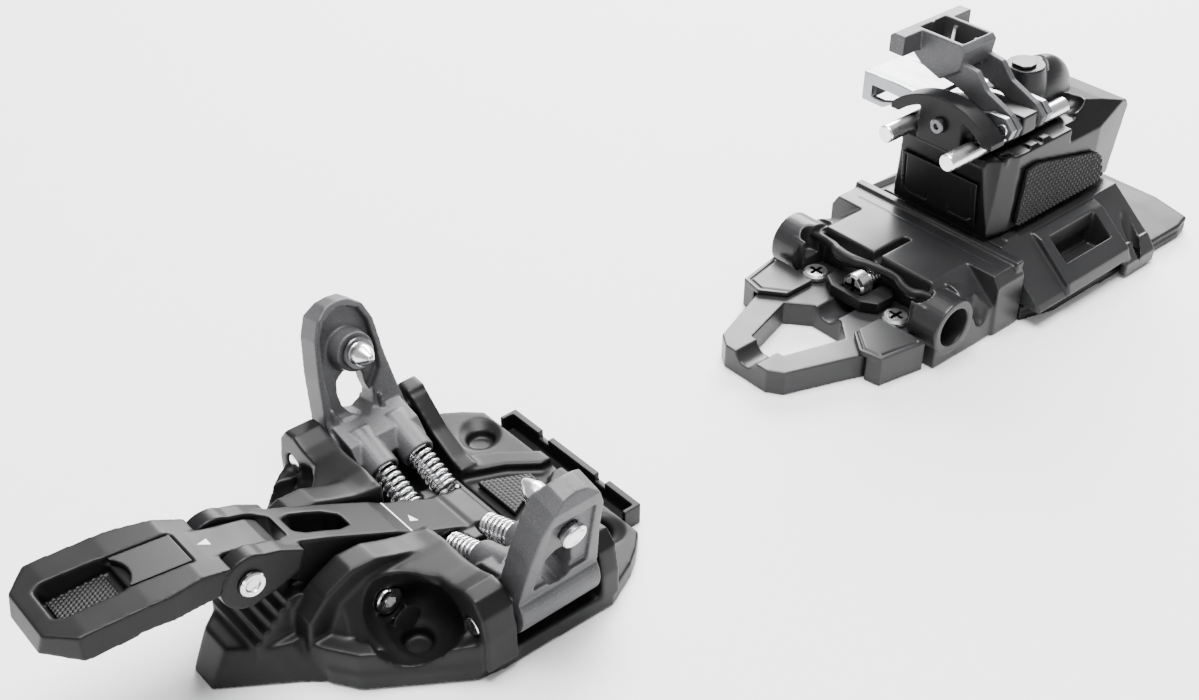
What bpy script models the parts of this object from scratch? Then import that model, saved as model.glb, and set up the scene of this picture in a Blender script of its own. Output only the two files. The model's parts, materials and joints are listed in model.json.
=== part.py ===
"""Touring binding for skis: a pin toe unit and a turret heel unit in one frame.

Lengths are in millimetres until they reach a mesh. +X is the right-hand side, +Y runs from the
ski tip to the tail, +Z is up, and z = 0 is the top of the ski.
"""

import math

import bmesh
import bpy
from mathutils import Matrix, Vector

MM = 0.001
GAP = 0.3

# Toe unit
BASE_DECK = 6.0
BASE_FLOOR = 3.0
WING_HINGE_X = 45.5
WING_HINGE_Z = 16.2
WING_MID_Y = 4.5
WING_HALF_Y = 14.0
WING_OPEN = math.radians(14)
WING_TOP = 45.6
PIN_HEIGHT = 29.1
HINGE_R = 3.0
BORE_R = 3.1
PIVOT_Y = -31.5
PIVOT_Z = 14.5
RIVET_Y = -66.9
RIVET_Z = 37.7
EAR_R = 8.6
SPRING_Y = (-1.5, 11.5)
SPRING_INNER = (9.8, 9.43)
SPRING_OUTER = (34.2, 18.3)
SPRING_R = 3.55
WIRE_R = 0.62
BARREL_R = 5.5
SOCKET_R = 4.4

# Heel unit
PLATE_TOP = 9.3
DECK_TOP = 24.0
RIDGE_TOP = 25.3
BARREL_Y = 193.0
BARREL_Z = 14.0
SCREW_Z = 15.0
TURRET_Y = 262.0
TURRET_FLOOR = 26.6
TURRET_TOP = 58.0
HEEL_PIN_X = 13.8
HEEL_PIN_Z = 61.9
HEEL_PIN_R = 3.25
RISER_X = 20.0
RISER_Z = 70.0

AXES = {
    "Z": Matrix.Identity(4),
    "X": Matrix(((0, 0, 1, 0), (1, 0, 0, 0), (0, 1, 0, 0), (0, 0, 0, 1))),
    "Y": Matrix(((1, 0, 0, 0), (0, 0, -1, 0), (0, 1, 0, 0), (0, 0, 0, 1))),
}


def clear_scene():
    for obj in list(bpy.data.objects):
        bpy.data.objects.remove(obj, do_unlink=True)


def group(name):
    found = bpy.data.collections.new(name)
    bpy.context.scene.collection.children.link(found)
    return found


def material(name, colour, metallic, roughness):
    made = bpy.data.materials.new(name)
    made.use_nodes = True
    shader = made.node_tree.nodes["Principled BSDF"]
    shader.inputs["Base Color"].default_value = (*colour, 1)
    shader.inputs["Metallic"].default_value = metallic
    shader.inputs["Roughness"].default_value = roughness
    return made


def finished(bm, offset=(0, 0, 0)):
    """A mesh in metres, moved by offset, from a bmesh in millimetres."""
    bmesh.ops.translate(bm, verts=bm.verts, vec=Vector(offset))
    bmesh.ops.scale(bm, verts=bm.verts, vec=(MM, MM, MM))
    bmesh.ops.recalc_face_normals(bm, faces=bm.faces)
    mesh = bpy.data.meshes.new("shape")
    bm.to_mesh(mesh)
    bm.free()
    return mesh


def extruded(outline, low, high, along="Z"):
    """A flat outline pushed out between two levels. Along X it is (y, z), along Y it is (x, z)."""
    curve = bpy.data.curves.new("outline", "CURVE")
    curve.dimensions = "2D"
    curve.fill_mode = "BOTH"
    curve.extrude = (high - low) / 2
    spline = curve.splines.new("POLY")
    spline.points.add(len(outline) - 1)
    for point, (u, v) in zip(spline.points, outline):
        point.co = (u, v, 0, 1)
    spline.use_cyclic_u = True
    helper = bpy.data.objects.new("outline", curve)
    bpy.context.scene.collection.objects.link(helper)
    graph = bpy.context.evaluated_depsgraph_get()
    flat = bpy.data.meshes.new_from_object(helper.evaluated_get(graph))
    bm = bmesh.new()
    bm.from_mesh(flat)
    bpy.data.objects.remove(helper)
    bpy.data.curves.remove(curve)
    bpy.data.meshes.remove(flat)
    bmesh.ops.remove_doubles(bm, verts=bm.verts, dist=0.001)
    bmesh.ops.transform(bm, matrix=AXES[along], verts=bm.verts)
    middle = (low + high) / 2
    shift = {"X": (middle, 0, 0), "Y": (0, middle, 0), "Z": (0, 0, middle)}[along]
    return finished(bm, shift)


def block(low, high):
    bm = bmesh.new()
    bmesh.ops.create_cube(bm, size=1)
    size = [b - a for a, b in zip(low, high)]
    bmesh.ops.scale(bm, verts=bm.verts, vec=size)
    return finished(bm, [(a + b) / 2 for a, b in zip(low, high)])


def rod(start, end, radius, end_radius=None, segments=24):
    """A round bar or cone between two points."""
    first, last = Vector(start), Vector(end)
    bm = bmesh.new()
    bmesh.ops.create_cone(
        bm,
        cap_ends=True,
        segments=segments,
        radius1=radius,
        radius2=radius if end_radius is None else end_radius,
        depth=(last - first).length,
    )
    turn = Vector((0, 0, 1)).rotation_difference(last - first).to_matrix().to_4x4()
    bmesh.ops.transform(bm, matrix=turn, verts=bm.verts)
    return finished(bm, (first + last) / 2)


def loft(lower, upper, low, high):
    """A solid between two plan outlines with the same number of points."""
    bm = bmesh.new()
    bottom = [bm.verts.new((x, y, low)) for x, y in lower]
    top = [bm.verts.new((x, y, high)) for x, y in upper]
    bm.faces.new(bottom[::-1])
    bm.faces.new(top)
    for i in range(len(bottom)):
        j = (i + 1) % len(bottom)
        bm.faces.new((bottom[i], bottom[j], top[j], top[i]))
    bmesh.ops.triangulate(bm, faces=bm.faces)
    return finished(bm)


def both_sides(half):
    """A closed outline from the half of it at x > 0."""
    return half + [(-x, y) for x, y in reversed(half)]


def mirrored(outline, side):
    return [(side * x, y) for x, y in outline]


def solid(name, mesh, finish, origin=(0, 0, 0), turn=0.0):
    """A node whose origin is on its joint axis. The mesh is drawn from that origin."""
    obj = bpy.data.objects.new(name, mesh)
    mesh.materials.append(finish)
    obj.location = Vector(origin) * MM
    obj.rotation_euler = (0, turn, 0)
    PARTS.objects.link(obj)
    return obj


def combine(obj, mesh, operation):
    tool = bpy.data.objects.new(f"{obj.name}_tool", mesh)
    tool.location = obj.location
    tool.rotation_euler = obj.rotation_euler
    tool.hide_render = True
    tool.display_type = "WIRE"
    CUTTERS.objects.link(tool)
    change = obj.modifiers.new(operation.lower(), "BOOLEAN")
    change.operation = operation
    change.solver = "EXACT"
    change.object = tool


def join(obj, *meshes):
    for mesh in meshes:
        combine(obj, mesh, "UNION")


def cut(obj, *meshes):
    for mesh in meshes:
        combine(obj, mesh, "DIFFERENCE")


def around(origin, points):
    """Outline points measured from an origin in the same plane."""
    return [(u - origin[0], v - origin[1]) for u, v in points]


def smooth(obj):
    """Shades round pieces smooth, except across their sharp edges."""
    for face in obj.data.polygons:
        face.use_smooth = True
    bm = bmesh.new()
    bm.from_mesh(obj.data)
    for edge in bm.edges:
        edge.smooth = edge.calc_face_angle(0) < math.radians(40)
    bm.to_mesh(obj.data)
    bm.free()


# ---------------------------------------------------------------- toe unit


def toe_base(black):
    deck = both_sides([
        (17, -52), (24.2, -54.7), (32.2, -49.2), (50.3, -22.7), (51.5, -15),
        (52.5, 24), (47, 36), (43.5, 41), (38.5, 46.5),
    ])
    base = solid("toe_base", extruded(deck, 0, BASE_DECK), black)
    nose_foot = both_sides([(5.2, -80.5), (18.5, -60.8), (23.4, -55), (23.4, -48)])
    nose_top = both_sides([(5.8, -74.7), (13, -66), (15, -60), (15, -48)])
    join(base, loft(nose_foot, nose_top, 0, 12.5))
    steps = [(-69, 8)]
    for i in range(5):
        steps += [(-69 + 2.8 * i, 14.5 + 2.5 * i), (-66.2 + 2.8 * i, 14.5 + 2.5 * i)]
    steps += [(-53, 24.5), (-50, 14), (-50, 8)]
    join(base, extruded(steps, -12, 12, "X"))
    wall = [
        (-57, 4), (-56, 20), (-50, 26.5), (-41, 31), (-33, 30.5), (-27, 28),
        (-20, 25.5), (-10.8, 24), (-10.8, 4),
    ]
    beam = [
        (10.6, 4), (10.6, 24), (19.5, 25.2), (30, 24.5), (38, 26), (43, 28),
        (48, 27.5), (51.5, 23), (53, 16), (53, 4),
    ]
    rim = [
        (18.6, -57), (23.9, -54.3), (31.9, -48.8), (50, -22.4), (51, -17.6),
        (45, -17.4), (42.7, -24), (29, -44), (18.6, -51),
    ]
    ear = [(38, 4), (38.5, 20), (42, 25.5), (47, 26), (51, 22), (52.5, 14), (52.5, 4)]
    ridge = [(15, 4), (15, 10), (20, 11), (30, 16), (40, 24), (44, 24.5), (44, 4)]
    tail = [(22, 20.4), (15, 20.4), (9.5, 33), (2.5, 42), (2.5, 46), (8, 46), (17, 35), (22, 26)]
    for side in (-1, 1):
        inner, outer = sorted((side * 10.6, side * 19.5))
        join(base, extruded(wall, inner, outer, "X"))
        join(base, extruded(mirrored(beam, side), -21.5, -10.8, "Y"))
        join(base, extruded(mirrored(rim, side), 0.5, 13))
        join(base, extruded(mirrored(ear, side), 19.8, 26.5, "Y"))
        join(base, extruded(mirrored(ridge, side), 20, 26.3, "Y"))
        join(base, extruded(mirrored(tail, side), 2, 9))
    cut(base, block((-43.6, -10.4, BASE_FLOOR), (43.6, 19.5, 40)))
    cut(base, block((-17, -9.8, 2.1), (17, 19.2, 40)))
    cut(base, block((-10, -21, 2.3), (10, -9, 40)))
    for side in (-1, 1):
        low, high = sorted((side * 3, side * 17))
        cut(base, block((low, -9.9, -1), (high + 0.1 * (side > 0), 19.3, 2.6)))
        x = side * WING_HINGE_X
        cut(base, rod((x, -22.5, WING_HINGE_Z), (x, 27.5, WING_HINGE_Z), BORE_R))
        cut(base, rod((side * 30.2, -29, -1), (side * 30.2, -29, 9), 4.5))
        cut(base, rod((side * 29, 38, -1), (side * 29, 38, 14), 4.5))
    cut(base, rod((-21, PIVOT_Y, PIVOT_Z), (21, PIVOT_Y, PIVOT_Z), BORE_R))
    return base


def toe_grip_pad(rubber):
    outline = both_sides([(9.5, 22), (4.5, 32), (2, 37)])
    return solid("toe_grip_pad", extruded(outline, BASE_DECK + GAP, 8), rubber)


def arm_pivot_pin(steel):
    pin = solid(
        "arm_pivot_pin", rod((-21.6, 0, 0), (21.6, 0, 0), HINGE_R), steel, (0, PIVOT_Y, PIVOT_Z)
    )
    for side in (-1, 1):
        join(pin, rod((side * (19.5 + GAP), 0, 0), (side * 21.8, 0, 0), 4.6))
        cut(pin, rod((side * 20.6, 0, 0), (side * 23, 0, 0), 1.8, segments=6))
    return pin


def spring_direction(side, y):
    start = Vector((side * SPRING_INNER[0], y, SPRING_INNER[1]))
    end = Vector((side * SPRING_OUTER[0], y, SPRING_OUTER[1]))
    return start, end


def toe_arm(black):
    """Arm with the step-in block at its rear end and the lever's fork at its front end."""
    pivot = (PIVOT_Y, PIVOT_Z)
    body = [
        (-57.5, 43), (-40, 35), (-18.5, 24), (-13.5, 20.6), (5.5, 11.8), (7.8, 12),
        (14.8, 10.4), (14.8, 4.7), (-8, 4.7), (-22, 8.5), (-31.5, 8), (-38, 10.5),
        (-46, 20), (-54, 28), (-58, 31),
    ]
    skirt = [(-7.5, 4.7), (-7.5, 13), (0, 12.5), (10, 10.6), (17.3, 9), (17.3, 4.7)]
    fork = [
        (RIVET_Y, RIVET_Z + EAR_R), (-57, 43), (-50, 39), (-52, 33), (-58, 30.6),
        (RIVET_Y, RIVET_Z - EAR_R),
    ]
    origin = (0, PIVOT_Y, PIVOT_Z)
    arm = solid("toe_arm", extruded(around(pivot, body), -8.7, 8.7, "X"), black, origin)
    join(arm, extruded(around(pivot, skirt), -14, 14, "X"))
    join(arm, extruded(around(pivot, fork), -12.3, 12.3, "X"))
    y, z = RIVET_Y - PIVOT_Y, RIVET_Z - PIVOT_Z
    join(arm, rod((-12.3, y, z), (12.3, y, z), EAR_R, segments=32))
    fork_gap = both_sides([(6.6, y - 12), (6.6, y + 12), (4.5, y + 15.5)])
    cut(arm, extruded(fork_gap, -10, 60))
    window = both_sides([(3.2, -17), (4.6, -14), (4.6, -4), (2.8, 0.5)])
    cut(arm, extruded(window, 0, 40))
    cut(arm, rod((-14, y, z), (14, y, z), 2.6))
    cut(arm, rod((-10, 0, 0), (10, 0, 0), BORE_R))
    cut(arm, block((-4.5, 20, -12), (4.5, 52, 8 - PIVOT_Z)))
    for side in (-1, 1):
        for spring_y in SPRING_Y:
            start, end = spring_direction(side, spring_y)
            step = (end - start).normalized()
            socket_end = start - 0.4 * step - Vector(origin)
            cut(arm, rod(socket_end, socket_end + 14 * step, SOCKET_R))
    return arm


def lever_rivet(steel):
    rivet = solid(
        "lever_rivet", rod((-13.6, 0, 0), (13.6, 0, 0), 2.5), steel, (0, RIVET_Y, RIVET_Z)
    )
    for side in (-1, 1):
        join(rivet, rod((side * (12.3 + GAP), 0, 0), (side * 14, 0, 0), 3.9))
        cut(rivet, rod((side * 12.9, 0, 0), (side * 15, 0, 0), 1.9))
    return rivet


def toe_lever(black):
    hub = (RIVET_Y, RIVET_Z)
    side_view = [
        (-122, 45.8), (-120.5, 52.2), (-112, 52.4), (-95, 51.2), (-80, 49.4), (-71, 45.6),
        (-71, 36.4), (-79, 36.8), (-86, 40.5), (-95, 43.2), (-112, 44),
    ]
    plan = both_sides([(7.5, -122.5), (16.4, -114), (16.4, -90), (12.6, -70)])
    tongue = [
        (-78, 48), (-66, 44.8), (-58, 42.4), (-54.5, 40), (-56, 36.5), (-60, 34),
        (-64, 32.6), (-71, 32.6), (-76, 36.4),
    ]
    origin = (0, RIVET_Y, RIVET_Z)
    lever = solid("toe_lever", extruded(around(hub, side_view), -18, 18, "X"), black, origin)
    plan = [(x, y - RIVET_Y) for x, y in plan]
    combine(lever, extruded(plan, -10, 30), "INTERSECT")
    for side in (-1, 1):
        cut(lever, rod((side * 6.2, 0, 0), (side * 20, 0, 0), EAR_R + 0.4, segments=32))
    join(lever, extruded(around(hub, tongue), -6.2, 6.2, "X"))
    pocket = [(x, y - RIVET_Y) for x, y in both_sides([(6.2, -115), (6.4, -96)])]
    badge = [(x, y - RIVET_Y) for x, y in both_sides([(6.4, -98), (6.8, -79)])]
    cut(lever, extruded(pocket, 46.2 - RIVET_Z, 30))
    seat = [(-97.5, 49.2), (-97.5, 56), (-78.4, 56), (-78.4, 47.6)]
    cut(lever, extruded(around(hub, seat), -6.8, 6.8, "X"))
    cut(lever, rod((-8, 0, 0), (8, 0, 0), 2.6))
    return lever


def lever_badge(satin):
    hub = (RIVET_Y, RIVET_Z)
    face = [(-95.6, 49.45), (-95.6, 51), (-79, 49), (-79, 47.95)]
    plate = extruded(around(hub, face), -6.4, 6.4, "X")
    return solid("lever_badge", plate, satin, (0, RIVET_Y, RIVET_Z))


def lever_grip(rubber):
    hub = (RIVET_Y, RIVET_Z)
    face = [(-113.5, 46.5), (-113.5, 47.2), (-98.2, 47.2), (-98.2, 46.5)]
    plate = extruded(around(hub, face), -5.7, 5.7, "X")
    return solid("lever_grip", plate, rubber, (0, RIVET_Y, RIVET_Z))


def wing(side, cast):
    """One jaw. It is drawn closed, about its hinge, and stands open by WING_OPEN at rest."""
    name = "wing_right" if side > 0 else "wing_left"

    def face(outline):
        return [(-side * u, w) for u, w in outline]

    plate = [(-4.6, -3), (-5, 10), (-5, 42), (-3, 46), (3, 46), (4.4, 42), (4.4, 10), (6, 2)]
    rounded = [
        (-WING_HALF_Y, -12), (-WING_HALF_Y, 8), (-12.6, 24), (-10.6, 36), (-8, 42), (-4, 45),
        (0, WING_TOP), (4, 45), (8, 42), (10.4, 36), (11.4, 24), (WING_HALF_Y, 8),
        (WING_HALF_Y, -12),
    ]
    foot = [(-4, 6), (3, 9), (14, 3.5), (17, -2), (12, -7), (0, -7.6)]
    origin = (side * WING_HINGE_X, WING_MID_Y, WING_HINGE_Z)
    reach = WING_HALF_Y + 1
    body = solid(
        name, extruded(face(plate), -reach, reach, "Y"), cast, origin, side * WING_OPEN
    )
    combine(body, extruded(rounded, -30, 30, "X"), "INTERSECT")
    join(body, rod((0, -WING_HALF_Y, 0), (0, WING_HALF_Y, 0), 8.2, segments=32))
    join(body, extruded(face(foot), -12.6, 12.6, "Y"))
    join(body, rod((-side * 3, 0.5, PIN_HEIGHT), (-side * 7.6, 0.5, PIN_HEIGHT), 6.8))
    for spring_y in SPRING_Y:
        start = Vector((-side * 6.8, spring_y - WING_MID_Y, 2.3))
        end = Vector((-side * 19.6, spring_y - WING_MID_Y, -6.1))
        join(body, rod(start, end, BARREL_R))
        step = (end - start).normalized()
        cut(body, rod(end - 10.4 * step, end + 3 * step, SOCKET_R + 0.1))
    cut(body, rod((0, -16, 0), (0, 16, 0), BORE_R))
    window = [(-5.6, 13), (-4.6, 20.5), (-1, 22), (3, 21), (3.4, 16), (1.4, 11), (-2, 9.4)]
    low, high = sorted((side * 7, -side * 12))
    cut(body, extruded(window, low, high, "X"))
    cut(body, rod((side * 7, 0.5, PIN_HEIGHT), (-side * 9, 0.5, PIN_HEIGHT), 3.4))
    low, high = sorted((side * 3.6, side * 7))
    cut(body, extruded([(-9.5, 10), (-7.4, 37), (7.4, 37), (9.5, 10)], low, high, "X"))
    return body


def toe_pin(side, steel):
    name = "toe_pin_right" if side > 0 else "toe_pin_left"
    origin = (side * WING_HINGE_X, WING_MID_Y, WING_HINGE_Z)

    def bar(u0, u1, radius, end_radius=None):
        return rod(
            (-side * u0, 0.5, PIN_HEIGHT), (-side * u1, 0.5, PIN_HEIGHT), radius, end_radius
        )

    pin = solid(name, bar(-6.6, 11.5, 3.15), steel, origin, side * WING_OPEN)
    join(pin, bar(7.9, 10.9, 5.2))
    join(pin, bar(10.5, 16.5, 4.2, 2.3))
    cut(pin, bar(-7, -5.4, 2.4, 0.6))
    return pin


def wing_hinge_pin(side, steel):
    name = "wing_hinge_pin_right" if side > 0 else "wing_hinge_pin_left"
    origin = (side * WING_HINGE_X, WING_MID_Y, WING_HINGE_Z)
    bar = rod((0, -25.6, 0), (0, 21.8, 0), HINGE_R)
    return solid(name, bar, steel, origin)


def toe_spring(name, side, y, steel):
    """A wound wire between the step-in block and a jaw."""
    start, end = spring_direction(side, y)
    turns, per_turn = 11, 8
    curve = bpy.data.curves.new(name, "CURVE")
    curve.dimensions = "3D"
    curve.bevel_depth = WIRE_R * MM
    curve.bevel_resolution = 0
    curve.use_fill_caps = True
    spline = curve.splines.new("POLY")
    count = turns * per_turn + 1
    spline.points.add(count - 1)
    axis = end - start
    length = axis.length - 2 * WIRE_R
    axis.normalize()
    across = Vector((0, 1, 0))
    up = axis.cross(across)
    for i, point in enumerate(spline.points):
        angle = 2 * math.pi * i / per_turn
        along = WIRE_R + length * i / (count - 1)
        ring = SPRING_R * (math.cos(angle) * across + math.sin(angle) * up)
        point.co = (*((start + along * axis + ring) * MM), 1)
    helper = bpy.data.objects.new("wire", curve)
    bpy.context.scene.collection.objects.link(helper)
    graph = bpy.context.evaluated_depsgraph_get()
    mesh = bpy.data.meshes.new_from_object(helper.evaluated_get(graph))
    bpy.data.objects.remove(helper)
    bpy.data.curves.remove(curve)
    bm = bmesh.new()
    bm.from_mesh(mesh)
    bmesh.ops.remove_doubles(bm, verts=bm.verts, dist=1e-6)
    bmesh.ops.recalc_face_normals(bm, faces=bm.faces)
    bm.to_mesh(mesh)
    bm.free()
    return solid(name, mesh, steel)


def crampon_bracket(black):
    bracket = solid("crampon_bracket", block((-31, 47.5, 0), (31, 54, 7.5)), black)
    cut(bracket, block((-27, 46, 2), (27, 52, 6)))
    for x in (-14, 14):
        cut(bracket, block((x - 2.5, 51, 5), (x + 2.5, 56, 9)))
    return bracket


def build_toe():
    black = material("toe_black", (0.02, 0.02, 0.022), 0, 0.4)
    satin = material("lever_satin", (0.06, 0.06, 0.065), 0, 0.35)
    cast = material("cast_grey", (0.16, 0.16, 0.17), 0.7, 0.55)
    steel = material("bright_steel", (0.75, 0.75, 0.77), 1, 0.2)
    spring_steel = material("spring_steel", (0.7, 0.7, 0.72), 1, 0.25)
    rubber = material("black_rubber", (0.03, 0.03, 0.03), 0, 0.8)
    toe_base(black)
    toe_grip_pad(rubber)
    smooth(arm_pivot_pin(steel))
    toe_arm(black)
    smooth(lever_rivet(steel))
    toe_lever(black)
    lever_badge(satin)
    lever_grip(rubber)
    for side, word in ((-1, "left"), (1, "right")):
        wing(side, cast)
        smooth(toe_pin(side, steel))
        smooth(wing_hinge_pin(side, steel))
        for place, y in zip(("front", "rear"), SPRING_Y):
            toe_spring(f"toe_spring_{word}_{place}", side, y, spring_steel)
    crampon_bracket(black)


# --------------------------------------------------------------- heel unit


def heel_plate(black):
    outline = both_sides([(9.9, 130.3), (15.2, 134), (24, 158), (26.5, 164), (26.5, 196)])
    plate = solid("heel_plate", extruded(outline, 0, PLATE_TOP), black)
    window = both_sides([(7.5, 141), (14.6, 164.6), (6.5, 171.5)])
    cut(plate, extruded(window, -1, 12))
    cut(plate, rod((0, 125, 10.3), (0, 190, 10.3), 5))
    for side in (-1, 1):
        cut(plate, rod((side * 19.1, 186, -1), (side * 19.1, 186, 12), 2.7))
    return plate


def side_pad(side, rubber):
    name = "side_pad_right" if side > 0 else "side_pad_left"
    outline = [(16, 167.5), (24.5, 160.8), (33, 162.5), (36.5, 181.5), (26, 181.5), (16, 180.6)]
    top = mirrored(outline, side)
    leg = mirrored([(27, 161.5), (33, 162.5), (36.5, 181.5), (27, 181.5)], side)
    pad = solid(name, extruded(top, PLATE_TOP + GAP, 11.4), rubber)
    join(pad, extruded(leg, 0, 11))
    return pad


def mount_screw(side, steel):
    name = "mount_screw_right" if side > 0 else "mount_screw_left"
    x, y = side * 19.1, 186
    screw = solid(name, rod((x, y, PLATE_TOP + GAP), (x, y, 12), 4.9), steel)
    join(screw, rod((x, y, 0.5), (x, y, 10.5), 2.4))
    cut(screw, block((x - 2.8, y - 0.6, 10.6), (x + 2.8, y + 0.6, 14)))
    cut(screw, block((x - 0.6, y - 2.8, 10.6), (x + 0.6, y + 2.8, 14)))
    return screw


def screw_retainer(black):
    outline = both_sides([(7, 180.5), (12.5, 184), (12.5, 192), (9, 195.6)])
    retainer = solid("screw_retainer", extruded(outline, PLATE_TOP + GAP, 14), black)
    cut(retainer, rod((0, 183.2, SCREW_Z), (0, 200, SCREW_Z), 5.2))
    return retainer


def length_screw(steel):
    screw = solid(
        "length_screw", rod((0, 0, 0), (0, 6, 0), 4.8), steel, (0, 184, SCREW_Z)
    )
    join(screw, rod((0, 4, 0), (0, 112, 0), 2.6))
    cut(screw, block((-3.4, -1, -0.7), (3.4, 2.4, 0.7)))
    cut(screw, block((-0.7, -1, -3.4), (0.7, 2.4, 3.4)))
    return screw


def deck_wire(black):
    wire = solid("deck_wire", rod((-27, 193.9, 20), (27, 193.9, 20), 1.9, segments=16), black)
    join(wire, rod((-15, 193.9, 20), (-3, 193.9, 20), 2.2, segments=16))
    return wire


def brake_deck(black):
    low = [(39, 0), (38.5, 12), (24.5, DECK_TOP)]
    slope = low + [(-x, z) for x, z in reversed(low)]
    rear = [(40, 0), (39.6, 20), (37, DECK_TOP)]
    full = rear + [(-x, z) for x, z in reversed(rear)]
    deck = solid("brake_deck", extruded(slope, 196.4, 217, "Y"), black)
    join(deck, extruded(full, 216, 231, "Y"))
    ridge = [(226.8, 20), (227.4, RIDGE_TOP), (231, RIDGE_TOP), (231, 20)]
    join(deck, extruded(ridge, -38.6, 38.6, "X"))
    cut(deck, block((-1.6, 190, 20), (1.6, 213, 30)))
    cut(deck, rod((0, 190, SCREW_Z), (0, 235, SCREW_Z), 2.9))
    for side in (-1, 1):
        inner, outer = side * 27.5, side * 39.3
        join(deck, rod((inner, BARREL_Y, BARREL_Z), (outer, BARREL_Y, BARREL_Z), 10.3, segments=32))
        low_x, high_x = sorted((inner, side * 38.8))
        join(deck, block((low_x, 184.5, 0), (high_x, 200, BARREL_Z)))
        bore = rod((side * 30, BARREL_Y, BARREL_Z), (side * 41, BARREL_Y, BARREL_Z), 7.2)
        cut(deck, bore)
    return deck


def heel_track(black):
    outline = both_sides([(40.5, 231.4), (44.6, 246), (46, 325), (44, 333), (27, 337.5)])
    track = solid("heel_track", extruded(outline, 0, 6), black)
    cut(track, block((-8, 306, 3), (8, 330, 8)))
    return track


def carriage(black):
    body = [(48, 6.4), (46.4, 9.5), (27.5, RIDGE_TOP)]
    outline = body + [(-x, z) for x, z in reversed(body)]
    slider = solid("carriage", extruded(outline, 231.6, 303, "Y"), black)
    for side in (-1, 1):
        x0, x1 = sorted((side * 31.5, side * 41))
        cut(slider, block((x0, 255, 10.5), (x1, 280, 30)))
        foot = [(46.5, 1), (49.5, 1), (49.5, 6), (45, 12), (44, 6.8), (46.5, 6.8)]
        join(slider, extruded(mirrored(foot, side), 284, 302.5, "Y"))
    cut(slider, rod((0, 230, SCREW_Z), (0, 305, SCREW_Z), 2.9))
    cut(slider, rod((0, TURRET_Y, 18.3), (0, TURRET_Y, 30), 8.2))
    return slider


def turret_post(steel):
    return solid("turret_post", rod((0, 0, 18.6), (0, 0, 40), 7.9), steel, (0, TURRET_Y, 0))


def turret_housing(black):
    side_view = [
        (229.5, TURRET_FLOOR), (226, 56), (227.5, TURRET_TOP), (278.4, TURRET_TOP),
        (280, 64), (296, 60), (311, 55.4), (313, 52.5), (305, TURRET_FLOOR),
    ]
    plan = both_sides([(20.8, 225.5), (23.5, 240), (23.5, 290), (19.6, 314)])
    origin = (0, TURRET_Y, 0)
    profile = around((TURRET_Y, 0), side_view)
    housing = solid("turret_housing", extruded(profile, -26, 26, "X"), black, origin)
    combine(housing, extruded([(x, y - TURRET_Y) for x, y in plan], 20, 70), "INTERSECT")
    join(housing, block((1, 238.4 - TURRET_Y, 52), (9.6, 246.2 - TURRET_Y, 71)))
    join(housing, block((1, 238.4 - TURRET_Y, 66.2), (23.4, 246.2 - TURRET_Y, 73.5)))
    cut(housing, rod((0, 0, 20), (0, 0, 40.4), 8.2))
    y0, y1 = 236 - TURRET_Y, 249 - TURRET_Y
    cut(housing, rod((RISER_X, y0, RISER_Z), (RISER_X, y1, RISER_Z), 2.3, segments=16))
    return housing


def turret_cap(satin):
    side_view = [
        (262, TURRET_TOP + GAP), (262, 72), (265, 75.4), (271, 75.8), (280, 73), (293, 66),
        (293, 63), (279.7, 66.2), (277.8, TURRET_TOP + GAP),
    ]
    profile = around((TURRET_Y, 0), side_view)
    return solid("turret_cap", extruded(profile, -9.5, 9.5, "X"), satin, (0, TURRET_Y, 0))


def cap_insert(cast):
    outline = both_sides([(2.5, 2.5), (4.2, 5), (4.2, 8.5), (2.5, 11)])
    return solid("cap_insert", extruded(outline, 76.1, 77), cast, (0, TURRET_Y, 0))


def front_panel(black):
    face = [(228.5, 31), (227.6, 31), (225.5, 49), (226.4, 49)]
    profile = around((TURRET_Y, 0), face)
    return solid("front_panel", extruded(profile, -17, 17, "X"), black, (0, TURRET_Y, 0))


def side_grip(side, rubber):
    name = "side_grip_right" if side > 0 else "side_grip_left"
    face = [
        (242, 30), (244, 51), (250, 52), (288, 43), (292, 40), (295, 31), (292, 28.5), (244, 28.5),
    ]
    low, high = sorted((side * (23.5 + GAP), side * 25))
    profile = around((TURRET_Y, 0), face)
    pad = extruded(profile, low, high, "X")
    grip = solid(name, pad, rubber, (0, TURRET_Y, 0))
    return grip


def heel_pin(side, steel):
    """A retention pin. It pivots about its rear end when the binding releases."""
    name = "heel_pin_right" if side > 0 else "heel_pin_left"
    origin = (side * HEEL_PIN_X, 273, HEEL_PIN_Z)
    pin = solid(name, rod((0, -61.6, 0), (0, 4, 0), HEEL_PIN_R), steel, origin)
    join(pin, rod((0, -63, 0), (0, -61, 0), 2.3, HEEL_PIN_R))
    return pin


def arch_bridge(black):
    outer = [(22.3, 65.6), (22, 70.5), (12, 75.5), (5, 77)]
    inner = [(9.5, 58.3), (9.5, 70.6), (17, 68.6), (19.2, 65.6)]
    outline = inner + outer + [(-x, z) for x, z in reversed(inner + outer)]
    origin = (0, TURRET_Y, 0)
    bridge = solid("arch_bridge", extruded(outline, -39.5, -32, "Y"), black, origin)
    cut(bridge, rod((0, -42, 67), (0, -34, 67), 1.9, segments=16))
    cut(bridge, block((-12, -36, 56), (12, -30, TURRET_TOP + GAP)))
    return bridge


def bridge_screw(steel):
    screw = solid(
        "bridge_screw", rod((0, -41.6, 67), (0, -39.8, 67), 3), steel, (0, TURRET_Y, 0)
    )
    join(screw, rod((0, -40.5, 67), (0, -34.5, 67), 1.6, segments=16))
    cut(screw, rod((0, -42.5, 67), (0, -40.6, 67), 1.3, segments=6))
    return screw


def riser_hinge_pin(steel):
    bar = rod((0, 230.8 - TURRET_Y, 0), (0, 254.2 - TURRET_Y, 0), 2.2, segments=16)
    return solid("riser_hinge_pin", bar, steel, (RISER_X, TURRET_Y, RISER_Z))


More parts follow.
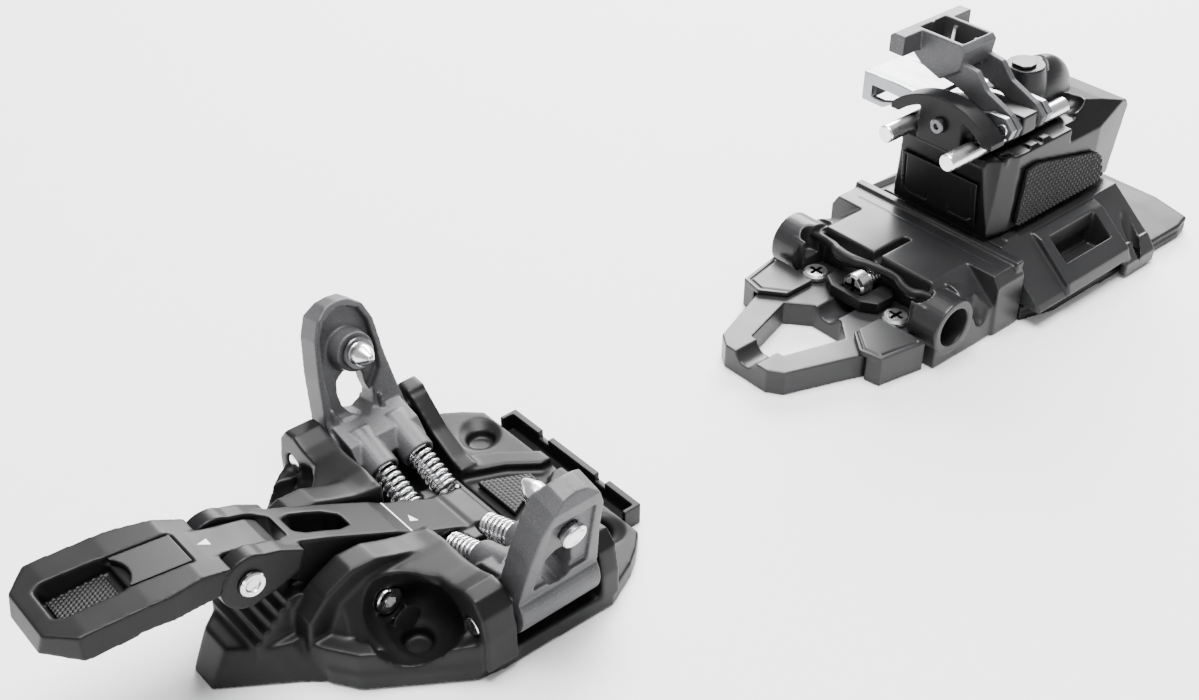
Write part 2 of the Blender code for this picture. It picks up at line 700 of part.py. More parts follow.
def low_riser(aluminium):
    hinge = (RISER_X, RISER_Z)
    plate = [
        (-43, 58), (-43, 69.5), (-28, 70), (-8, 69.5), (6, 71), (14, 74.5), (21, 74.6),
        (24.5, 71), (23.5, 67.3), (20, 66.6), (-21, 66.6), (-33, 58),
    ]
    end = [(-43, 58), (-43, 69.5), (-14, 69.5), (-14, 67.3), (-40.4, 67.3), (-40.4, 58)]
    window = [(-38.6, 60.4), (-38.6, 65.2), (-26, 65.2), (-22.5, 64), (-33.5, 60.4)]
    origin = (RISER_X, TURRET_Y, RISER_Z)
    front, rear = 231 - TURRET_Y, 254 - TURRET_Y
    riser = solid(
        "low_riser", extruded(around(hinge, plate), front, front + 2.5, "Y"), aluminium, origin
    )
    join(riser, extruded(around(hinge, end), front + 1, rear - 1, "Y"))
    join(riser, extruded(around(hinge, plate), rear - 2.5, rear, "Y"))
    cut(riser, extruded(around(hinge, window), front - 1, front + 4, "Y"))
    cut(riser, rod((0, front - 1, 0), (0, rear + 1, 0), 2.3, segments=16))
    return riser


def high_riser(cast):
    hinge = (RISER_X, RISER_Z)
    arm = [
        (-12, 78), (-3, 86), (4, 85), (9, 79.5), (15, 77), (20.5, 74.6), (24.5, 71),
        (23.5, 67), (20, 65.7), (15, 69.5), (6, 73), (-5, 77),
    ]
    box = [
        (-27.5, 86), (-27.5, 91.4), (-26, 92.6), (-3.5, 92.6), (-1.7, 91), (-3, 83), (-11, 77), (-20, 80),
    ]
    bar = [(-27.5, 85), (-27.5, 91.4), (-26, 92.6), (-21, 92.6), (-21, 85)]
    origin = (RISER_X, TURRET_Y, RISER_Z)
    riser = solid(
        "high_riser", extruded(around(hinge, box), -28.4, -10.6, "Y"), cast, origin
    )
    join(riser, extruded(around(hinge, bar), -38, -1, "Y"))
    for front in (-27.7, -13.6):
        join(riser, extruded(around(hinge, arm), front, front + 2.4, "Y"))
        bore = rod((0, front - 1, 0), (0, front + 3.4, 0), 2.3, segments=16)
        cut(riser, bore)
    for low, high in ((-26.6, -20.2), (-18.8, -12.4)):
        cut(riser, block((-43.5, low, 11.5), (-24.2, high, 30)))
    return riser


def build_heel():
    black = material("heel_black", (0.02, 0.02, 0.022), 0, 0.4)
    satin = material("cap_satin", (0.05, 0.05, 0.055), 0, 0.35)
    cast = material("riser_cast", (0.2, 0.2, 0.21), 0.7, 0.5)
    steel = material("pin_steel", (0.78, 0.78, 0.8), 1, 0.15)
    aluminium = material("riser_aluminium", (0.7, 0.7, 0.72), 1, 0.3)
    rubber = material("grip_rubber", (0.03, 0.03, 0.03), 0, 0.85)
    heel_plate(black)
    for side in (-1, 1):
        side_pad(side, black)
        smooth(mount_screw(side, steel))
        side_grip(side, rubber)
        smooth(heel_pin(side, steel))
    screw_retainer(black)
    smooth(length_screw(steel))
    smooth(deck_wire(black))
    brake_deck(black)
    heel_track(black)
    carriage(black)
    smooth(turret_post(steel))
    turret_housing(black)
    turret_cap(satin)
    cap_insert(cast)
    front_panel(black)
    arch_bridge(black)
    smooth(bridge_screw(steel))
    smooth(riser_hinge_pin(steel))
    low_riser(aluminium)
    high_riser(cast)


clear_scene()
PARTS = group("touring_binding")
CUTTERS = group("cutters")
CUTTERS.hide_render = True
build_toe()
build_heel()
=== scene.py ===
"""Looks of the touring binding: finishes, moulded skins, springs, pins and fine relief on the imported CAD.

Lengths are in millimetres until they reach a mesh. +X is the right-hand side, +Y runs from the ski's tip
to its tail, and +Z is up.
"""

import json
import math

import bmesh
import bpy
import numpy as np
from mathutils import Matrix, Vector


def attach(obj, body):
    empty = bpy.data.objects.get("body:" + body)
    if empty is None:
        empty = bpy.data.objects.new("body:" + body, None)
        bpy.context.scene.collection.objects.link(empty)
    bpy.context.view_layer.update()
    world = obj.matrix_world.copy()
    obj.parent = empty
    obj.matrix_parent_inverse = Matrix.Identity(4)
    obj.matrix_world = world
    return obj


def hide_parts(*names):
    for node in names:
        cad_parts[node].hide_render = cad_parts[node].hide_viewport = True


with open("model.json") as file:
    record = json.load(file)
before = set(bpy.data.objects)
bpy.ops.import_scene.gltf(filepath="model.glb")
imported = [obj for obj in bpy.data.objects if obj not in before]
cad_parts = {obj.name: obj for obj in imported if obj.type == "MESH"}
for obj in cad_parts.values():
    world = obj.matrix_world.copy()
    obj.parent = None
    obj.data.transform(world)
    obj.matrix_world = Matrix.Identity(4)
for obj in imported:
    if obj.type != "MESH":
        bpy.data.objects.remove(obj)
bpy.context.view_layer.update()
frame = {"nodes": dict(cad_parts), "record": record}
NODES = frame["nodes"]
BODY_OF = {node: body for body, nodes in frame["record"]["behaviour"]["bodies"].items() for node in nodes}

MM = 0.001
SIDES = ((-1, "left"), (1, "right"))

# Fixed places of the CAD. Where a piece has a twin, the place is the right-hand one.
WING_HINGE = (45.5, 4.5, 16.2)
WING_OPEN = math.radians(14)
PIN_HEIGHT = 29.1
PIN_ACROSS = 0.5  # the toe pin stands this far behind the jaw's middle
PIVOT = (-31.5, 14.5)  # y and z of a pin that runs across
RIVET = (-66.9, 37.7)  # the same
SPRING_Y = (-1.5, 11.5)
SPRING_INNER = (9.8, 9.43)  # x and z of the end by the arm
SPRING_OUTER = (34.2, 18.3)  # x and z of the end by the jaw
HEEL_PIN = (13.8, 273.0, 61.9)
BASE_DECK = 6.0
FRONT_HOLE = (30.2, -29)  # x and y, as in the next one
REAR_HOLE = (29, 38)
BRAKE_BARREL = (28.5, 13.5)  # x and z
LENGTH_SCREW = (0.0, 184.0, 15.0)
MOUNT_SCREW = (19.1, 186.0)  # x and y
BRIDGE_SCREW_Z = 67
RISER_HINGE = (20.0, 70.0)  # x and z

# Sizes of the fine work
SPRING_COIL = 3.45
SPRING_WIRE = 0.68
SPRING_TURNS = 12
THREAD_PITCH = 1.5
THREAD_END = 111
MARK_LIFT = 0.06
MARK_THICK = 0.12

CUT = "DIFFERENCE"
JOIN = "UNION"

# Camera and lamps, in metres and degrees. A lamp is its place, size, power and aim.
CAMERA = {"spot": (0.2952, -0.190, 0.3279), "turn": (53.91, 0, 49.29), "lens": 46.93, "sensor": 36}
LAMPS = {
    "sweep": ((-1.0, 1.35, 0.95), (1.4, 0.9), 112.0, (0, 0.2, 0.02)),
    "overhead": ((0.0, 0.1, 1.5), (0.9, 0.9), 66.0, (0, 0.1, 0)),
    "front": ((0.9, -0.75, 0.35), (0.5, 0.35), 2.5, (0, 0.08, 0.03)),
}
SURROUND = 0.58

# ---------------------------------------------------------------- finishes


def node(tree, kind, inputs=None, **settings):
    made = tree.nodes.new(kind)
    for key, value in settings.items():
        setattr(made, key, value)
    for key, value in (inputs or {}).items():
        if isinstance(value, bpy.types.NodeSocket):
            tree.links.new(value, made.inputs[key])
        else:
            made.inputs[key].default_value = value
    return made


def noise(tree, where, scale, detail):
    made = node(tree, "ShaderNodeTexNoise", {"Vector": where, "Scale": scale, "Detail": detail})
    return made.outputs["Fac"]


def ramp(tree, value, low, high, to_low, to_high):
    made = node(
        tree, "ShaderNodeMapRange",
        {"Value": value, "From Min": low, "From Max": high, "To Min": to_low, "To Max": to_high},
    )
    return made.outputs["Result"]


def blend(tree, factor, first, second):
    made = node(tree, "ShaderNodeMix", data_type="RGBA")
    tree.links.new(factor, made.inputs["Factor"])
    for socket, value in (("A", first), ("B", second)):
        target = [s for s in made.inputs if s.name == socket and s.type == "RGBA"][0]
        if isinstance(value, bpy.types.NodeSocket):
            tree.links.new(value, target)
        else:
            target.default_value = (*value, 1)
    return [s for s in made.outputs if s.type == "RGBA"][0]


def finish(
    name, colour, speck, rough, metallic=0.0, grain=900.0, speckle=0.0, bump=0.05, edge_wear_and_sheen=0.0, shine=0.5
):
    """A finish with grain, mottling and roughness that varies, and edges lightened partly as wear and
    partly as a painted highlight.
    """
    made = bpy.data.materials.new(name)
    made.use_nodes = True
    tree = made.node_tree
    shader = tree.nodes["Principled BSDF"]
    where = node(tree, "ShaderNodeTexCoord").outputs["Object"]
    fine = noise(tree, where, grain, 2.0)
    wide = noise(tree, where, 60.0, 4.0)
    tone = blend(tree, ramp(tree, wide, 0.35, 0.65, 0.0, 0.35), colour, speck)
    if speckle:
        tone = blend(tree, ramp(tree, fine, 0.52, 0.68, 0.0, speckle), tone, speck)
    if edge_wear_and_sheen:
        # Convex edges are lightened, partly as wear and partly as a painted highlight along the edges.
        edge = node(tree, "ShaderNodeNewGeometry").outputs["Pointiness"]
        worn_and_lit_edge = [min(1.0, c * 2.2 + 0.05) for c in colour]
        tone = blend(tree, ramp(tree, edge, 0.52, 0.62, 0.0, edge_wear_and_sheen), tone, worn_and_lit_edge)
    tree.links.new(tone, shader.inputs["Base Color"])
    tree.links.new(ramp(tree, wide, 0.3, 0.7, rough[0], rough[1]), shader.inputs["Roughness"])
    shader.inputs["Metallic"].default_value = metallic
    shader.inputs["Specular IOR Level"].default_value = shine
    relief = node(tree, "ShaderNodeBump", {"Height": fine, "Strength": bump, "Distance": 0.0002})
    tree.links.new(relief.outputs["Normal"], shader.inputs["Normal"])
    return made


def drawn_metal(name, colour, rough, stretch, bump=0.02):
    """Bright metal with fine marks that run along one axis."""
    made = bpy.data.materials.new(name)
    made.use_nodes = True
    tree = made.node_tree
    shader = tree.nodes["Principled BSDF"]
    where = node(tree, "ShaderNodeTexCoord").outputs["Object"]
    turned = node(tree, "ShaderNodeMapping", {"Vector": where, "Scale": stretch}).outputs["Vector"]
    marks = noise(tree, turned, 1.0, 3.0)
    wide = noise(tree, where, 90.0, 2.0)
    darker = [c * 0.82 for c in colour]
    tone = blend(tree, ramp(tree, wide, 0.35, 0.65, 0.0, 0.6), colour, darker)
    tree.links.new(tone, shader.inputs["Base Color"])
    tree.links.new(ramp(tree, marks, 0.3, 0.7, rough[0], rough[1]), shader.inputs["Roughness"])
    shader.inputs["Metallic"].default_value = 1.0
    relief = node(tree, "ShaderNodeBump", {"Height": marks, "Strength": bump, "Distance": 0.0001})
    tree.links.new(relief.outputs["Normal"], shader.inputs["Normal"])
    return made


MOULDED = finish(
    "moulded_black", (0.0042, 0.0042, 0.0046), (0.0065, 0.0065, 0.007), (0.38, 0.48),
    grain=1500, bump=0.08, edge_wear_and_sheen=0.1, shine=0.2,
)
PAINTED = finish(
    "painted_black", (0.0055, 0.0055, 0.006), (0.0085, 0.0085, 0.009), (0.34, 0.44),
    grain=2200, bump=0.05, edge_wear_and_sheen=0.12, shine=0.16,
)
# A lighter copy of the black for the pieces with broad upward faces; the lighter tone is painted top light.
TOP_LIT_BLACK = finish(
    "top_lit_black", (0.014, 0.014, 0.0148), (0.019, 0.019, 0.02), (0.3, 0.4),
    grain=1500, bump=0.05, edge_wear_and_sheen=0.12, shine=0.34,
)
GLOSS = finish(
    "gloss_black", (0.0032, 0.0032, 0.0036), (0.0045, 0.0045, 0.005), (0.27, 0.33),
    grain=2200, bump=0.02, edge_wear_and_sheen=0.08, shine=0.2,
)
SATIN = finish(
    "satin_grey", (0.007, 0.007, 0.0078), (0.010, 0.010, 0.011), (0.3, 0.4),
    grain=1800, bump=0.04, edge_wear_and_sheen=0.1, shine=0.25,
)
CAST = finish(
    "cast_grey", (0.05, 0.05, 0.0525), (0.125, 0.125, 0.13), (0.4, 0.54),
    metallic=0.35, grain=2600, speckle=0.5, bump=0.3, edge_wear_and_sheen=0.2, shine=0.4,
)
RUBBER = finish(
    "rubber", (0.0045, 0.0045, 0.0048), (0.008, 0.008, 0.0085), (0.38, 0.5),
    grain=2500, bump=0.12, shine=0.2,
)
CHROME = drawn_metal("bright_steel", (0.8, 0.8, 0.81), (0.1, 0.22), (1500, 60, 1500))
SMOOTH = drawn_metal("ground_steel", (0.8, 0.8, 0.81), (0.24, 0.32), (90, 90, 90), bump=0.004)
DARK_STEEL = drawn_metal("dark_steel", (0.12, 0.12, 0.125), (0.25, 0.35), (200, 200, 200), bump=0.01)
WIRE = drawn_metal("spring_wire", (0.72, 0.72, 0.73), (0.14, 0.3), (300, 300, 300))
SILVER = drawn_metal("silver_aluminium", (0.3, 0.305, 0.32), (0.34, 0.46), (60, 1500, 1500), bump=0.05)
WHITE = finish("white_mark", (0.7, 0.7, 0.7), (0.62, 0.62, 0.62), (0.4, 0.5), grain=1500)

# ------------------------------------------------------------ mesh helpers

AXES = {
    "Z": Matrix.Identity(4),
    "X": Matrix(((0, 0, 1, 0), (1, 0, 0, 0), (0, 1, 0, 0), (0, 0, 0, 1))),
    "Y": Matrix(((1, 0, 0, 0), (0, 0, -1, 0), (0, 1, 0, 0), (0, 0, 0, 1))),
}


def scaled(bm, place=None):
    """A mesh in metres from a bmesh in millimetres."""
    if place is not None:
        bmesh.ops.transform(bm, matrix=place, verts=bm.verts)
    bmesh.ops.scale(bm, verts=bm.verts, vec=(MM, MM, MM))
    bmesh.ops.recalc_face_normals(bm, faces=bm.faces)
    mesh = bpy.data.meshes.new("shape")
    bm.to_mesh(mesh)
    bm.free()
    return mesh


def extruded(outline, low, high, along="Z", place=None):
    """A flat outline pushed out between two levels. Along X it is (y, z), along Y it is (x, z)."""
    bm = bmesh.new()
    bottom = [bm.verts.new((u, v, low)) for u, v in outline]
    top = [bm.verts.new((u, v, high)) for u, v in outline]
    bm.faces.new(bottom[::-1])
    bm.faces.new(top)
    for i in range(len(outline)):
        j = (i + 1) % len(outline)
        bm.faces.new((bottom[i], bottom[j], top[j], top[i]))
    if along == "Y":
        bmesh.ops.scale(bm, verts=bm.verts, vec=(1, 1, -1))
    bmesh.ops.transform(bm, matrix=AXES[along], verts=bm.verts)
    bmesh.ops.triangulate(bm, faces=bm.faces)
    return scaled(bm, place)


def block(low, high):
    bm = bmesh.new()
    bmesh.ops.create_cube(bm, size=1)
    bmesh.ops.scale(bm, verts=bm.verts, vec=[b - a for a, b in zip(low, high)])
    bmesh.ops.translate(bm, verts=bm.verts, vec=[(a + b) / 2 for a, b in zip(low, high)])
    return scaled(bm)


def side_block(side, low, high):
    """A block given for the right-hand side, put on either side."""
    left, right = sorted((side * low[0], side * high[0]))
    return block((left, *low[1:]), (right, *high[1:]))


def turned(start, end, profile, steps=96, place=None):
    """A turned piece from start towards end. The profile is (distance from start, radius)."""
    first, last = Vector(start), Vector(end)
    turn = Vector((0, 0, 1)).rotation_difference(last - first).to_matrix().to_4x4()
    bm = bmesh.new()
    rings = []
    for along, radius in profile:
        if radius < 1e-6:
            rings.append([bm.verts.new((0, 0, along))])
            continue
        ring = []
        for i in range(steps):
            angle = 2 * math.pi * i / steps
            ring.append(bm.verts.new((radius * math.cos(angle), radius * math.sin(angle), along)))
        rings.append(ring)
    for ring, after in zip(rings, rings[1:]):
        for i in range(steps):
            j = (i + 1) % steps
            corners = [ring[k % len(ring)] for k in (i, j)] + [after[k % len(after)] for k in (j, i)]
            distinct = list(dict.fromkeys(corners))
            if len(distinct) > 2:
                bm.faces.new(distinct)
    bmesh.ops.transform(bm, matrix=Matrix.Translation(first) @ turn, verts=bm.verts)
    return scaled(bm, place)


def loft(lower, upper, low, high):
    """A solid between two plan outlines with the same number of points."""
    bm = bmesh.new()
    bottom = [bm.verts.new((x, y, low)) for x, y in lower]
    top = [bm.verts.new((x, y, high)) for x, y in upper]
    bm.faces.new(bottom[::-1])
    bm.faces.new(top)
    for i in range(len(bottom)):
        j = (i + 1) % len(bottom)
        bm.faces.new((bottom[i], bottom[j], top[j], top[i]))
    bmesh.ops.triangulate(bm, faces=bm.faces)
    return scaled(bm)


def ball(centre, radii, turn=0.0, axis="X"):
    bm = bmesh.new()
    bmesh.ops.create_uvsphere(bm, u_segments=48, v_segments=24, radius=1)
    bmesh.ops.scale(bm, verts=bm.verts, vec=radii)
    place = Matrix.Translation(centre) @ Matrix.Rotation(math.radians(turn), 4, axis)
    return scaled(bm, place)


def arc(centre, radius, first, last, steps=12):
    """Outline points on a circle, between two angles in degrees."""
    points = []
    for i in range(steps + 1):
        angle = math.radians(first + (last - first) * i / steps)
        points.append((centre[0] + radius * math.cos(angle), centre[1] + radius * math.sin(angle)))
    return points


def rod(start, end, radius, end_radius=None, steps=64, place=None):
    length = (Vector(end) - Vector(start)).length
    last = radius if end_radius is None else end_radius
    return turned(start, end, [(0, 0), (0, radius), (length, last), (length, 0)], steps, place)


def pin_profile(length, radius, round_off=0.5):
    """A plain pin with rounded ends."""
    points = [(0, 0)]
    for i in range(7):
        angle = math.pi / 2 * i / 6
        points.append((round_off * (1 - math.cos(angle)), radius - round_off * (1 - math.sin(angle))))
    return points + [(length - d, r) for d, r in reversed(points)]


def both_sides(half):
    return half + [(-x, y) for x, y in reversed(half)]


def mirrored(outline, side):
    return [(side * x, y) for x, y in outline]


def wing_frame(side):
    """Places a shape drawn about the closed jaw's hinge where the open jaw stands."""
    x, y, z = WING_HINGE
    return Matrix.Translation((side * x, y, z)) @ Matrix.Rotation(side * WING_OPEN, 4, "Y")


# ----------------------------------------------------------- piece helpers


def linked(name, data):
    obj = bpy.data.objects.new(name, data)
    bpy.context.scene.collection.objects.link(obj)
    return obj


def bake_modifiers(obj):
    graph = bpy.context.evaluated_depsgraph_get()
    graph.update()
    mesh = bpy.data.meshes.new_from_object(obj.evaluated_get(graph))
    obj.modifiers.clear()
    obj.data = mesh


def boolean(obj, mesh, operation):
    tool = linked("tool", mesh)
    change = obj.modifiers.new(operation, "BOOLEAN")
    change.operation = operation
    change.solver = "EXACT"
    change.object = tool
    bake_modifiers(obj)
    bpy.data.objects.remove(tool)


def soften(obj, voxel, rounds):
    """Turns hard CAD edges into the fillets of a moulding."""
    remesh = obj.modifiers.new("skin", "REMESH")
    remesh.mode = "VOXEL"
    remesh.voxel_size = voxel * MM
    remesh.adaptivity = 0
    smooth = obj.modifiers.new("fillets", "SMOOTH")
    smooth.factor = 0.5
    smooth.iterations = rounds
    bake_modifiers(obj)


def shade(obj, angle=None):
    for face in obj.data.polygons:
        face.use_smooth = True
    if angle is not None:
        bm = bmesh.new()
        bm.from_mesh(obj.data)
        for edge in bm.edges:
            edge.smooth = edge.calc_face_angle(0) < math.radians(angle)
        bm.to_mesh(obj.data)
        bm.free()


def settle(obj, surface, stands_for):
    """Gives a piece its finish and the body of the CAD node that it stands for."""
    obj.data.materials.clear()
    obj.data.materials.append(surface)
    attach(obj, BODY_OF[stands_for])
    return obj


def worked(cad_node, steps):
    """A copy of a CAD node's mesh after some booleans, given as (operation, mesh) in their order."""
    body = linked("worked", NODES[cad_node].data.copy())
    for operation, tool in steps:
        boolean(body, tool, operation)
    mesh = body.data
    bpy.data.objects.remove(body)
    return mesh


def skin(cad_node, surface, joins=(), cuts=(), voxel=0.45, rounds=5, reliefs=(), shape=None):
    """A moulded copy of a CAD node, with shape joined on and cut away, and fine relief on its faces.

    A relief is (pattern, direction), and a shape stands in for the node's own mesh.
    """
    obj = linked(f"{cad_node}_skin", shape or NODES[cad_node].data.copy())
    for mesh in joins:
        boolean(obj, mesh, JOIN)
    for mesh in cuts:
        boolean(obj, mesh, CUT)
    soften(obj, voxel, rounds)
    for relief in reliefs:
        raise_skin(obj, *relief)
    shade(obj)
    settle(obj, surface, cad_node)
    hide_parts(cad_node)
    return obj


def mark(name, outline, host, cad_node):
    """A thin printed mark that follows the top of a skin. The outline is (x, y)."""
    bm = bmesh.new()
    face = bm.faces.new([bm.verts.new((x * MM, y * MM, 0)) for x, y in outline])
    face.normal_update()
    if face.normal.z < 0:
        face.normal_flip()
    bmesh.ops.triangulate(bm, faces=bm.faces)
    for _ in range(4):
        bmesh.ops.subdivide_edges(bm, edges=bm.edges, cuts=1, use_grid_fill=True)
    bmesh.ops.triangulate(bm, faces=bm.faces)
    for vert in bm.verts:
        hit, place, _, _ = host.ray_cast(Vector((vert.co.x, vert.co.y, 0.2)), Vector((0, 0, -1)))
        vert.co.z = place.z + (MARK_LIFT - MARK_THICK) * MM if hit else 0
    mesh = bpy.data.meshes.new(name)
    bm.to_mesh(mesh)
    bm.free()
    obj = linked(name, mesh)
    body = obj.modifiers.new("thickness", "SOLIDIFY")
    body.thickness = MARK_THICK * MM
    body.offset = 1
    bake_modifiers(obj)
    return settle(obj, WHITE, cad_node)


def tube(name, knots, surface, stands_for):
    """A bent bar through smoothed knots, which are (place, radius)."""
    curve = bpy.data.curves.new(name, "CURVE")
    curve.dimensions = "3D"
    curve.bevel_depth = MM
    curve.bevel_resolution = 6
    curve.use_fill_caps = True
    spline = curve.splines.new("BEZIER")
    spline.bezier_points.add(len(knots) - 1)
    for knot, (place, radius) in zip(spline.bezier_points, knots):
        knot.co = Vector(place) * MM
        knot.handle_left_type = knot.handle_right_type = "AUTO"
        knot.radius = radius
    curve.resolution_u = 16
    helper = linked(name, curve)
    graph = bpy.context.evaluated_depsgraph_get()
    mesh = bpy.data.meshes.new_from_object(helper.evaluated_get(graph))
    bpy.data.objects.remove(helper)
    obj = linked(name, mesh)
    shade(obj, 60)
    settle(obj, surface, stands_for)
    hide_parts(stands_for)
    return obj


def lathe(name, stands_for, mesh, surface, cuts=(), collar=None):
    """A turned piece. A collar is (start, end, radius, finish), for the faces outside that radius."""
    obj = linked(name, mesh)
    for cutter in cuts:
        boolean(obj, cutter, CUT)
    shade(obj, 35)
    settle(obj, surface, stands_for)
    if collar:
        first, last, least, other = collar
        obj.data.materials.append(other)
        start = Vector(first) * MM
        along = (Vector(last) * MM - start).normalized()
        for face in obj.data.polygons:
            out = face.center - start
            if (out - out.dot(along) * along).length > least * MM and out.dot(along) > 0:
                face.material_index = 1
    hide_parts(stands_for)
    return obj


def paint_recess_shade(obj, low, high):
    """Gives the faces of a drive recess, inside a box, the black finish as painted shade."""
    obj.data.materials.append(MOULDED)
    for face in obj.data.polygons:
        if all(a < c / MM < b for a, c, b in zip(low, face.center, high)):
            face.material_index = 1


def raise_skin(obj, pattern, facing):
    """Moves the skin along its normals by pattern(x, y, z), in millimetres, where it faces that way."""
    mesh = obj.data
    points = np.empty(len(mesh.vertices) * 3, np.float32)
    mesh.vertices.foreach_get("co", points)
    points = points.reshape(-1, 3)
    normals = np.empty(len(mesh.vertices) * 3, np.float32)
    mesh.vertex_normals.foreach_get("vector", normals)
    normals = normals.reshape(-1, 3)
    place = points / MM
    chosen = normals @ np.array(facing) > 0.6
    offset = pattern(place[:, 0], place[:, 1], place[:, 2])
    points += normals * (np.where(chosen, offset, 0) * MM)[:, None]
    mesh.vertices.foreach_set("co", points.reshape(-1))
    mesh.update()


def near(u, v, line):
    """Distance of each point from a line of points."""
    best = np.full(u.shape, 1e6)
    for (u0, v0), (u1, v1) in zip(line, line[1:]):
        du, dv = u1 - u0, v1 - v0
        t = np.clip(((u - u0) * du + (v - v0) * dv) / (du * du + dv * dv), 0, 1)
        best = np.minimum(best, np.hypot(u - u0 - t * du, v - v0 - t * dv))
    return best


def line_cut(distance, width, depth):
    """A groove with soft walls where the distance is near zero."""
    return -depth * np.exp(-((distance / width) ** 4))


def scales(u, v, pitch, height):
    """Overlapping round scales, as on moulded grips."""
    tall = pitch * math.sqrt(3)
    first = np.hypot((u + pitch / 2) % pitch - pitch / 2, (v + tall / 2) % tall - tall / 2)
    second = np.hypot(u % pitch - pitch / 2, v % tall - tall / 2)
    return height * np.clip(1 - (np.minimum(first, second) / (0.56 * pitch)) ** 2, 0, 1)


# --------------------------------------------------------------- toe unit


def toe_base():
    foot = [
        (18.7, -56.6), (23.9, -54.1), (31.9, -48.6), (49.8, -22.6), (51, -17.8), (51, -12), (13, -12),
        (13, -56),
    ]
    crest = [(12, -52), (17.5, -45), (19.5, -38), (24, -28), (30, -22), (38, -17), (38, -12), (13, -12)]
    (y, z), (hinge_x, _, hinge_z) = PIVOT, WING_HINGE
    joins = []
    cuts = []
    for side, _ in SIDES:
        front_x, front_y = side * FRONT_HOLE[0], FRONT_HOLE[1]
        rear_x, rear_y = side * REAR_HOLE[0], REAR_HOLE[1]
        joins.append(loft(mirrored(foot, side), mirrored(crest, side), 0.8, 25))
        cuts.append(ball((side * 34, -34.5, 20.5), (13.5, 12, 14.5), side * -25, "Y"))
        cuts.append(ball((side * 33, -28.5, 14), (12.5, 10.5, 10.2), side * -10, "Y"))
        joins.append(rod((front_x, front_y, 0.4), (front_x, front_y, 3.0), 5.4))
        joins.append(rod((rear_x, rear_y, 0.4), (rear_x, rear_y, 1.8), 5.4))
        cuts.append(rod((front_x, front_y, 1.6), (front_x, front_y, 6), 4.5))
        cuts.append(rod((side * 18.0, y, z), (side * 30, y, z), 5.0))
        cuts.append(ball((side * 30, 38, 9), (10, 8.5, 5.4), side * 30, "Z"))
        cuts.append(rod((rear_x, rear_y, 2.6), (rear_x, rear_y, 14), 4.6))
        x = side * hinge_x
        cuts.append(rod((x, -40, hinge_z), (x, -20.9, hinge_z), 3.7))
        cuts.append(rod((x, -23, hinge_z), (x, 28, hinge_z), 3.15))
    cuts.append(rod((0, y, z), (-21, y, z), 3.1))
    cuts.append(rod((0, y, z), (21, y, z), 3.1))
    cuts.append(block((-10.6, -60, 26), (10.6, -10, 40)))
    cuts.append(block((-10.4, -50, BASE_DECK), (10.4, -9, 40)))
    skin("toe_base", MOULDED, joins, cuts, voxel=0.5, rounds=24)

    def studs(x, y, z):
        return scales(x, y, 1.5, 0.3)

    skin("toe_grip_pad", RUBBER, voxel=0.3, rounds=2, reliefs=[(studs, (0, 0, 1))])
    rear = block((-29.5, 46, 1.4), (29.5, 51.8, 12))
    skin("crampon_bracket", MOULDED, cuts=[rear], voxel=0.3, rounds=3)


def toe_arm():
    arm = skin("toe_arm", PAINTED, voxel=0.4, rounds=10)
    mark("step_line", [(-8.2, -14.1), (8.2, -14.1), (8.2, -13.5), (-8.2, -13.5)], arm, "toe_arm")
    mark("step_triangle", [(-0.6, -9.6), (2.6, -11), (2.6, -8.2)], arm, "toe_arm")


def lever():
    lower = both_sides([(5.0, -113.6), (6.0, -112), (6.0, -98)])
    upper = both_sides([(6.0, -116.6), (8.0, -113.6), (8.0, -97)])
    hollows = [loft(lower, upper, 46.3, 54)]
    for side, _ in SIDES:
        hollows.append(rod((side * 17.5, -100, 41), (side * 12.5, -76, 36.5), 3.2))
    body = skin("toe_lever", PAINTED, cuts=hollows, voxel=0.42, rounds=8)
    scoop = rod((0, -101.4, 45), (0, -101.4, 55), 8)
    skin("lever_badge", SATIN, cuts=[scoop], voxel=0.2, rounds=3)
    mark("lever_triangle", [(-1.4, -71.2), (1.4, -71.2), (0, -74.4)], body, "toe_lever")

    def studs(x, y, z):
        return scales(x, y, 1.25, 0.35)

    skin("lever_grip", RUBBER, voxel=0.18, rounds=1, reliefs=[(studs, (0, 0, 1))])


